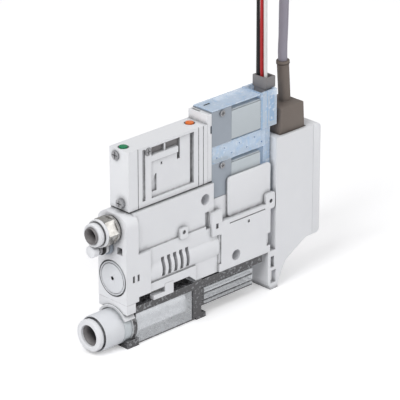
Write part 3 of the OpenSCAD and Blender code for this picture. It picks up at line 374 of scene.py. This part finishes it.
FINISHES = {
    "white_plastic": plastic("white_plastic", tint(235, 236, 239), tint(226, 227, 231), 0.42,
                             shade_in_corners=1.0),
    "lilac_plastic": plastic("lilac_plastic", tint(225, 227, 231), tint(213, 215, 220), 0.4),
    "smoked_plastic": clear_plastic("smoked_plastic", tint(218, 221, 225), tint(74, 73, 75),
                                    0.34, 0.1, thick=THICK_CASE, glow=0.62, line=0.4),
    "filter_fibre": plastic("filter_fibre", tint(226, 226, 230), tint(196, 196, 202), 0.85,
                            grain=0.9, glow=0.35),
    "frosted_plastic": plastic("frosted_plastic", tint(214, 220, 224), tint(196, 203, 208),
                               0.35, alpha=0.85),
    "plated_brass": metal("plated_brass", tint(205, 203, 199), tint(166, 163, 158), 0.26),
    "steel": metal("steel", tint(190, 190, 192), tint(150, 150, 153), 0.3),
    "seal_rubber": plastic("seal_rubber", tint(34, 34, 36), tint(22, 22, 24), 0.6),
    "grey_blue_plastic": plastic("grey_blue_plastic", tint(164, 172, 182), tint(150, 159, 170),
                                 0.4),
    "light_grey_plastic": plastic("light_grey_plastic", tint(198, 206, 211),
                                  tint(184, 192, 198), 0.42),
    "clear_blue_plastic": clear_plastic("clear_blue_plastic", tint(216, 230, 243),
                                        tint(118, 168, 214), 0.5, 0.1, thick=THICK_TOWER,
                                        glow=0.26, line=1.0, thick_share=0.6, glints=0.55),
    "copper": metal("copper", tint(190, 120, 85), tint(150, 85, 55), 0.3),
    "green_plastic": plastic("green_plastic", tint(0, 132, 84), tint(0, 108, 68), 0.35),
    "orange_plastic": plastic("orange_plastic", tint(236, 120, 44), tint(214, 98, 30), 0.35),
    "board_green": plastic("board_green", tint(30, 92, 62), tint(20, 72, 48), 0.35, coat=0.4),
    "gold_contact": metal("gold_contact", tint(222, 184, 96), tint(190, 150, 70), 0.22),
    "chip_black": plastic("chip_black", tint(30, 30, 32), tint(20, 20, 22), 0.5),
    "connector_grey": plastic("connector_grey", tint(136, 133, 134), tint(116, 112, 112), 0.45),
    "taupe_rubber": plastic("taupe_rubber", tint(120, 110, 103), tint(98, 89, 83), 0.55,
                            grain=0.3),
    "black_sheath": plastic("black_sheath", tint(28, 28, 30), tint(16, 16, 18), 0.4),
    "red_sheath": plastic("red_sheath", tint(188, 30, 34), tint(150, 18, 24), 0.4),
    "white_sheath": plastic("white_sheath", tint(228, 228, 226), tint(210, 210, 208), 0.4),
    "cable_sheath": plastic("cable_sheath", tint(152, 148, 160), tint(130, 126, 138), 0.5,
                            grain=0.25),
    "tie_plastic": plastic("tie_plastic", tint(60, 60, 62), tint(42, 42, 44), 0.5),
}


# ---- Pieces made on the part's own solids ----

SOLIDS = frame["nodes"]
BODY_OF = {node: body for body, nodes in frame["record"]["behaviour"]["bodies"].items()
           for node in nodes}
SLOT_OF = {row["node"]: row["material_slot"] for row in frame["record"]["subparts"]}


def link(name, mesh, slot, body):
    """A shown piece with its finish, riding on one body."""
    piece = bpy.data.objects.new(name, mesh)
    bpy.context.collection.objects.link(piece)
    mesh.materials.clear()
    mesh.materials.append(FINISHES[slot])
    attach(piece, body)
    return piece


def soften(piece, edge):
    """Rounds the outer edges a little, as moulding and deburring do."""
    bevel = piece.modifiers.new("soft_edges", "BEVEL")
    bevel.width = edge * MM
    bevel.segments = 2
    bevel.limit_method = "ANGLE"
    bevel.angle_limit = math.radians(35)
    bevel.use_clamp_overlap = False
    bevel.harden_normals = True


def clean_copy(node):
    """The solid's mesh with its seams closed and flat faces made whole."""
    mesh = SOLIDS[node].data.copy()
    shape = bmesh.new()
    shape.from_mesh(mesh)
    bmesh.ops.remove_doubles(shape, verts=shape.verts, dist=0.002 * MM)
    bmesh.ops.dissolve_limit(shape, angle_limit=math.radians(0.6), verts=shape.verts,
                             edges=shape.edges)
    for face in shape.faces:
        face.smooth = True
    shape.to_mesh(mesh)
    shape.free()
    return mesh


def dress(node, name, edge=0.15, slot=None):
    """The same solid with soft edges and its finish, shown in its place."""
    slot = slot or SLOT_OF[node]
    piece = link(name, clean_copy(node), slot, BODY_OF[node])
    soften(piece, edge)
    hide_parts(node)
    return piece


def finish_solid(node):
    """Gives a solid with many cuts its finish as it is; its edges are rounded in the finish."""
    solid = SOLIDS[node]
    solid.data.materials.clear()
    solid.data.materials.append(FINISHES[SLOT_OF[node]])


MANY_CUTS = ("ejector_body", "valve_block", "filter_case", "sensor_housing", "pilot_spacer",
             "pilot_seats", "connector_housing", "supply_fitting", "small_screws")
for solid in MANY_CUTS:
    finish_solid(solid)

DRESSED = {
    "end_plug": ("end_plug_disc", 0.15),
    "nozzle": ("nozzle_turning", 0.1),
    "diffuser": ("diffuser_tube", 0.1),
    "silencer": ("silencer_sleeve", 0.1),
    "seal_rings": ("seal_ring_set", 0.05),
    "check_valve": ("check_disc_rubber", 0.1),
    "supply_guide": ("supply_guide_ring", 0.2),
    "supply_collet": ("supply_collet_ring", 0.05),
    "supply_seal": ("supply_seal_ring", 0.1),
    "supply_release_bush": ("supply_release_collar", 0.2),
    "port_adapter": ("port_adapter_saddle", 0.2),
    "vacuum_fitting": ("vacuum_barrel", 0.25),
    "vacuum_collet": ("vacuum_collet_ring", 0.05),
    "vacuum_seal": ("vacuum_seal_ring", 0.1),
    "vacuum_release_bush": ("vacuum_release_collar", 0.3),
    "case_ring": ("clear_case_ring", 0.2),
    "filter_element": ("filter_element_felt", 0.1),
    "rear_plug": ("rear_tube_plug", 0.15),
    "needle": ("needle_knob", 0.25),
    "needle_lock_nut": ("needle_lock_ring", 0.1),
    "needle_holder": ("needle_holder_bush", 0.12),
    "valve_gasket": ("valve_gasket_sheet", 0.05),
    "supply_spool": ("supply_spool_turning", 0.1),
    "release_spool": ("release_spool_turning", 0.1),
    "supply_override": ("supply_override_button", 0.12),
    "release_override": ("release_override_button", 0.12),
    "supply_override_spring": ("supply_button_spring", 0.02),
    "release_override_spring": ("release_button_spring", 0.02),
    "valve_end_cap": ("valve_end_cap_plate", 0.2),
    "solenoids": ("solenoid_jackets", 0.25),
    "pilot_coils": ("pilot_coil_windings", 0.1),
    "pilot_cores": ("pilot_core_pins", 0.05),
    "upper_armature": ("upper_armature_pin", 0.05),
    "lower_armature": ("lower_armature_pin", 0.05),
    "circuit_board": ("pilot_circuit_board", 0.05),
    "contact_pins": ("pilot_contact_pins", 0.03),
    "wire_connector": ("three_way_connector", 0.12),
    "side_cover": ("side_cover_plate", 0.2),
    "sensor_cover": ("sensor_rear_cover", 0.25),
    "sensor_board": ("sensor_circuit_board", 0.05),
    "sensor_chip": ("sensor_chips", 0.08),
    "sensor_pins": ("sensor_pin_row", 0.03),
    "sensor_plug": ("sensor_cable_plug", 0.3),
    "cable_tie": ("hank_cable_tie", 0.15),
}
OTHER_FINISH = {"end_plug": "lilac_plastic"}

for solid, (label, width) in DRESSED.items():
    dress(solid, label, width, OTHER_FINISH.get(solid))


# ---- Small pieces added to the solids ----

def block_mesh(name, *corners):
    """Mesh of one or more boxes, given by their lowest and highest corners in millimetres."""
    shape = bmesh.new()
    for low, high in corners:
        made = bmesh.ops.create_cube(shape, size=1)["verts"]
        for vertex in made:
            vertex.co = Vector([(low[i] + high[i]) / 2 + vertex.co[i] * (high[i] - low[i])
                                for i in range(3)]) * MM
    mesh = bpy.data.meshes.new(name)
    shape.to_mesh(mesh)
    shape.free()
    for face in mesh.polygons:
        face.use_smooth = True
    return mesh


def small_block(name, low, high, slot, edge=0.1, more=()):
    """A little block, or a row of them, fixed to the body."""
    piece = link(name, block_mesh(name, (low, high), *more), slot, "unit")
    soften(piece, edge)
    return piece


def ring_band(name, along, centre, radii, angles=(0, 360), steps=48, ridges=0, ridge=0.0):
    """Mesh of a band round an axis along X at centre (Y, Z); ridges knurl its outer face."""
    whole = angles[1] - angles[0] >= 360
    shape = bmesh.new()
    rows = []
    for i in range(steps if whole else steps + 1):
        angle = math.radians(angles[0] + (angles[1] - angles[0]) * i / steps)
        outer = radii[1] + (ridge if ridges and (i * ridges * 2 // steps) % 2 else 0)
        row = []
        for x, radius in ((along[0], radii[0]), (along[1], radii[0]), (along[1], outer),
                          (along[0], outer)):
            row.append(shape.verts.new(Vector((x, centre[0] + radius * math.cos(angle),
                                               centre[1] + radius * math.sin(angle))) * MM))
        rows.append(row)
    pairs = list(zip(rows, rows[1:] + rows[:1])) if whole else list(zip(rows, rows[1:]))
    for first, second in pairs:
        for j in range(4):
            shape.faces.new((first[j], first[(j + 1) % 4], second[(j + 1) % 4], second[j]))
    if not whole:
        shape.faces.new(rows[0])
        shape.faces.new(rows[-1])
    bmesh.ops.recalc_face_normals(shape, faces=shape.faces)
    mesh = bpy.data.meshes.new(name)
    shape.to_mesh(mesh)
    shape.free()
    for face in mesh.polygons:
        face.use_smooth = True
    return mesh


def twin_screw(name, node, centre, low_face, move):
    """A screw head like one of the solid's, cut off at low_face and moved to its own place."""
    mesh = clean_copy(node)
    shape = bmesh.new()
    shape.from_mesh(mesh)
    middle = Vector(centre) * MM
    others = [v for v in shape.verts
              if v.co.x > middle.x + 6 * MM or (v.co.yz - middle.yz).length > 2 * MM]
    bmesh.ops.delete(shape, geom=others, context="VERTS")
    every = [*shape.verts, *shape.edges, *shape.faces]
    bmesh.ops.bisect_plane(shape, geom=every, plane_co=(low_face * MM, 0, 0),
                           plane_no=(1, 0, 0), clear_outer=True)
    rim = [edge for edge in shape.edges if edge.is_boundary]
    bmesh.ops.contextual_create(shape, geom=rim)
    bmesh.ops.translate(shape, verts=shape.verts, vec=Vector(move) * MM)
    for flat in shape.faces:
        flat.smooth = False
    shape.to_mesh(mesh)
    shape.free()
    return link(name, mesh, SLOT_OF[node], "unit")


# Where pieces of the solids have their axes, as Y and Z in millimetres
VACUUM_PORT_AXIS = (0, 7.2)
SUPPLY_PORT_AXIS = (0, 45.9)
NEEDLE_AXIS = (2.2, 38.5)
LOWER_SCREW = (-40.8, -1.3, 55)

saddle = link("adapter_saddle", ring_band("adapter_saddle", (-44.5, -39.7), VACUUM_PORT_AXIS,
                                          (7.15, 8.4), (30, 150)), "white_plastic", "unit")
soften(saddle, 0.2)
knurl = link("needle_grip_knurl", ring_band("needle_grip_knurl", (-49.7, -48.35), NEEDLE_AXIS,
                                            (1.92, 2.0), steps=96, ridges=24, ridge=0.14),
             "steel", "flow_needle")
soften(knurl, 0.03)

# Grey backs behind the openings of the valve block's side panels: painted shade in the pockets
WINDOW_Z = (71.2, 73.7)
SLOT_Z = (65.9, 71)
for side_name, low_y, high_y in (("near", -3.44, -3.3), ("far", 3.3, 3.44)):
    small_block(f"window_shade_backs_{side_name}", (-28.3, low_y, WINDOW_Z[0]),
                (-22.4, high_y, WINDOW_Z[1]), "connector_grey", 0.02,
                more=[((-21.4, low_y, WINDOW_Z[0]), (-14.5, high_y, WINDOW_Z[1])),
                      ((-15.7, low_y, SLOT_Z[0]), (-14.5, high_y, SLOT_Z[1]))])

twin_screw("top_front_screw", "small_screws", LOWER_SCREW, -41.1, (0.9, 2.9, 17.6))
# Grey sleeves in the supply and vacuum bores: painted shade that darkens them.
link("supply_bore_shade", ring_band("supply_bore_shade", (-54.6, -48.2), SUPPLY_PORT_AXIS,
                                    (2.92, 3.04)), "connector_grey", "supply_bush")
link("vacuum_bore_shade", ring_band("vacuum_bore_shade", (-55, -50.5), VACUUM_PORT_AXIS,
                                    (3.9, 4.04)), "connector_grey", "vacuum_bush")
# A black sheet in the square pocket: painted shade at its bottom.
small_block("square_pocket_shade", (-41.4, -5.2, 36.8), (-41.05, -2.6, 39.4), "chip_black", 0.05)

# The lid's top face, on which the latch slot lies
LID_TOP = 79.5
small_block("clear_top_lid", (1.4, -4.95, 79.05), (26.2, 4.95, LID_TOP), "clear_blue_plastic",
            0.12)
# A black sheet on the lid's top: painted shade where the latch slot is.
small_block("lid_slot_shade", (3.4, 1.2, LID_TOP), (6.4, 1.9, 79.56), "chip_black", 0.02)


# ---- Wires and cable ----

def smooth_path(points, step=2.0, lowest=0.0):
    """Points along a smooth curve through the given ones, all in millimetres."""
    points = [Vector(p) for p in points]
    ends = [points[0] * 2 - points[1], *points, points[-1] * 2 - points[-2]]
    made = []
    for a, b, c, d in zip(ends, ends[1:], ends[2:], ends[3:]):
        times = [0.0]
        for p, q in ((a, b), (b, c), (c, d)):
            times.append(times[-1] + (q - p).length ** 0.5)
        count = max(1, round((c - b).length / step))
        for i in range(count):
            t = times[1] + (times[2] - times[1]) * i / count

            def between(p, q, t0, t1):
                return p.lerp(q, (t - t0) / (t1 - t0))
            ab = between(a, b, times[0], times[1])
            bc = between(b, c, times[1], times[2])
            cd = between(c, d, times[2], times[3])
            abc = between(ab, bc, times[0], times[2])
            bcd = between(bc, cd, times[1], times[3])
            made.append(between(abc, bcd, times[1], times[2]))
    made.append(points[-1])
    for point in made:
        point.z = max(point.z, lowest)
    return made


def cord_curve(name, points, radius, slot):
    """A round cord whose own line follows the points, in millimetres."""
    curve = bpy.data.curves.new(name, "CURVE")
    curve.dimensions = "3D"
    curve.bevel_depth = radius * MM
    curve.bevel_resolution = 5
    curve.use_fill_caps = True
    line = curve.splines.new("POLY")
    line.points.add(len(points) - 1)
    for spot, point in zip(line.points, points):
        spot.co = (*mm(*point), 1)
    line.use_smooth = True
    curve.materials.append(FINISHES[slot])
    cord = bpy.data.objects.new(name, curve)
    bpy.context.collection.objects.link(cord)
    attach(cord, "unit")
    return cord


WIRE_R, WIRE_PITCH, WIRE_EXIT_Z = 0.65, 1.9, 81.5
WIRE_ROUTE = [(32, 0, WIRE_EXIT_Z), (31.6, 0, 116), (32.5, 0.9, 122), (35, 3.4, 126.2),
              (38.8, 7, 127.8), (42.5, 10.6, 126.2), (45, 13.1, 122), (45.9, 14, 116),
              (48.8, 16.8, 80), (51.6, 19.6, 40), (52.5, 20.8, 20), (51.4, 21.6, 9.5),
              (47.6, 22, 3), (41.5, 22, WIRE_R), (-27, 22, WIRE_R)]

for colour_name, place in (("black", 1), ("red", 0), ("white", -1)):
    side = place * WIRE_PITCH
    points = smooth_path([(x, y + side, z) for x, y, z in WIRE_ROUTE], lowest=WIRE_R)
    wire = cord_curve(f"{colour_name}_valve_wire", points, WIRE_R, f"{colour_name}_sheath")
    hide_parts(f"{colour_name}_wire")

CABLE_R = 1.75
CABLE_EXIT = (42.92, 0, 87.26)
CABLE_ROUTE = [CABLE_EXIT, (42.705, 0, 90.251), (43.1, 0, 100), (43.5, 0, 118),
               (45, 1.4, 125.5), (48.9, 5.2, 131), (54.3, 10.4, 133), (59.7, 15.6, 131),
               (63.7, 19.4, 125.5), (65.1, 20.8, 118), (67.4, 23.6, 90), (69.2, 25, 50),
               (70.3, 25.3, 30), (70.6, 25.6, 18), (68.5, 26, 10.2), (62.8, 26.8, 4.3),
               (57.6, 27.7, 2.45)]
HANK_X, HANK_Y, HANK_LAYERS, TIE_T = (20.7, 53.1), 45.85, 5, 0.6
HANK_TURNS, HANK_REST, HANK_PITCH, HANK_INNER = 2, 0.25, 3.54, 10.56
POINTS_PER_TURN = 80
CLIMB_LEAD, CLIMB_SHARE = 0.2, 0.7


def loop_point(turn, radius):
    """A point on a long loop with round ends, going backwards along the near run first."""
    run = HANK_X[1] - HANK_X[0]
    whole = 2 * run + 2 * math.pi * (HANK_INNER + HANK_PITCH)
    part = run / whole
    share = turn % 1
    if share < part:
        return HANK_X[1] - run * share / part, HANK_Y - radius
    if share < 0.5:
        angle = math.pi * (share - part) / (0.5 - part)
        return HANK_X[0] - radius * math.sin(angle), HANK_Y - radius * math.cos(angle)
    if share < 0.5 + part:
        return HANK_X[0] + run * (share - 0.5) / part, HANK_Y + radius
    angle = math.pi * (share - 0.5 - part) / (0.5 - part)
    return HANK_X[1] + radius * math.sin(angle), HANK_Y + radius * math.cos(angle)


def folded_hank():
    """The folded part: flat layers that spiral in and out, each on the one below."""
    outer = HANK_INNER + HANK_PITCH * HANK_TURNS
    per_layer = HANK_TURNS + HANK_REST
    total = HANK_LAYERS * per_layer - HANK_REST
    steps = int(total * POINTS_PER_TURN)
    made = []
    for i in range(steps + 1):
        turn = total * i / steps
        layer = min(int(turn / per_layer), HANK_LAYERS - 1)
        inside = HANK_PITCH * min(turn - layer * per_layer, HANK_TURNS)
        radius = outer - inside if layer % 2 == 0 else HANK_INNER + inside
        height = TIE_T + CABLE_R
        for rise in range(1, HANK_LAYERS):
            begin = rise * per_layer - HANK_REST - CLIMB_LEAD
            share = min(1, max(0, (turn - begin) / CLIMB_SHARE))
            height += 2 * CABLE_R * share * share * (3 - 2 * share)
        made.append(Vector((*loop_point(turn, radius), height)))
    return made


hank_points = folded_hank()
free_points = smooth_path([*CABLE_ROUTE, tuple(hank_points[0])], 3.0, CABLE_R)[:-1]
cable = cord_curve("sensor_lead", free_points + hank_points, CABLE_R, "cable_sheath")
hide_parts("sensor_cable", "cable_hank")


# ---- Light, floor and background ----

def make_world():
    """White to the camera; soft grey studio walls to everything else."""
    world = bpy.data.worlds.new("studio")
    bpy.context.scene.world = world
    world.use_nodes = True
    tree = Tree(world.node_tree)
    background = next(n for n in world.node_tree.nodes if n.type == "BACKGROUND")
    seen = tree.add("ShaderNodeLightPath")
    coords = tree.add("ShaderNodeTexCoord")
    height = tree.add("ShaderNodeSeparateXYZ")
    tree.join(coords.outputs["Generated"], height.inputs["Vector"])
    level = tree.spread(height.outputs["Z"], -0.3, 0.9, 0.3, 0.62)
    walls = tree.add("ShaderNodeCombineColor")
    for channel in ("Red", "Green", "Blue"):
        tree.join(level, walls.inputs[channel])
    tree.join(tree.mix(seen.outputs["Is Camera Ray"], walls.outputs["Color"], (1, 1, 1, 1)),
              background.inputs["Color"])


def soft_lamp(name, place, size, power):
    data = bpy.data.lights.new(name, "AREA")
    data.shape = "RECTANGLE"
    data.size, data.size_y = size
    data.energy = power
    lamp = bpy.data.objects.new(name, data)
    lamp.location = place
    lamp.rotation_mode = "QUATERNION"
    lamp.rotation_quaternion = (CAMERA_TARGET - Vector(place)).to_track_quat("-Z", "Y")
    bpy.context.collection.objects.link(lamp)


def make_floor():
    mesh = bpy.data.meshes.new("floor")
    half = 3.0
    mesh.from_pydata([(-half, -half, 0), (half, -half, 0), (half, half, 0), (-half, half, 0)],
                     [], [(0, 1, 2, 3)])
    floor = bpy.data.objects.new("floor", mesh)
    bpy.context.collection.objects.link(floor)
    material, tree, surface = start_material("pale_floor", 1.0)
    surface.inputs["Base Color"].default_value = (0.86, 0.86, 0.87, 1)
    surface.inputs["Roughness"].default_value = 0.9
    surface.inputs["Specular IOR Level"].default_value = 0.1
    seen = tree.add("ShaderNodeLightPath")
    lift = tree.sums("MULTIPLY", seen.outputs["Is Camera Ray"], 0.33)
    surface.inputs["Emission Color"].default_value = (1, 1, 1, 1)
    tree.join(lift, surface.inputs["Emission Strength"])
    mesh.materials.append(material)


make_world()
soft_lamp("main_softbox", (-0.85, -0.2, 0.9), (0.6, 0.6), 7.0)
soft_lamp("side_softbox", (0.55, -0.95, 0.5), (0.8, 0.6), 2.5)
make_floor()
bpy.context.scene.view_settings.view_transform = "Standard"
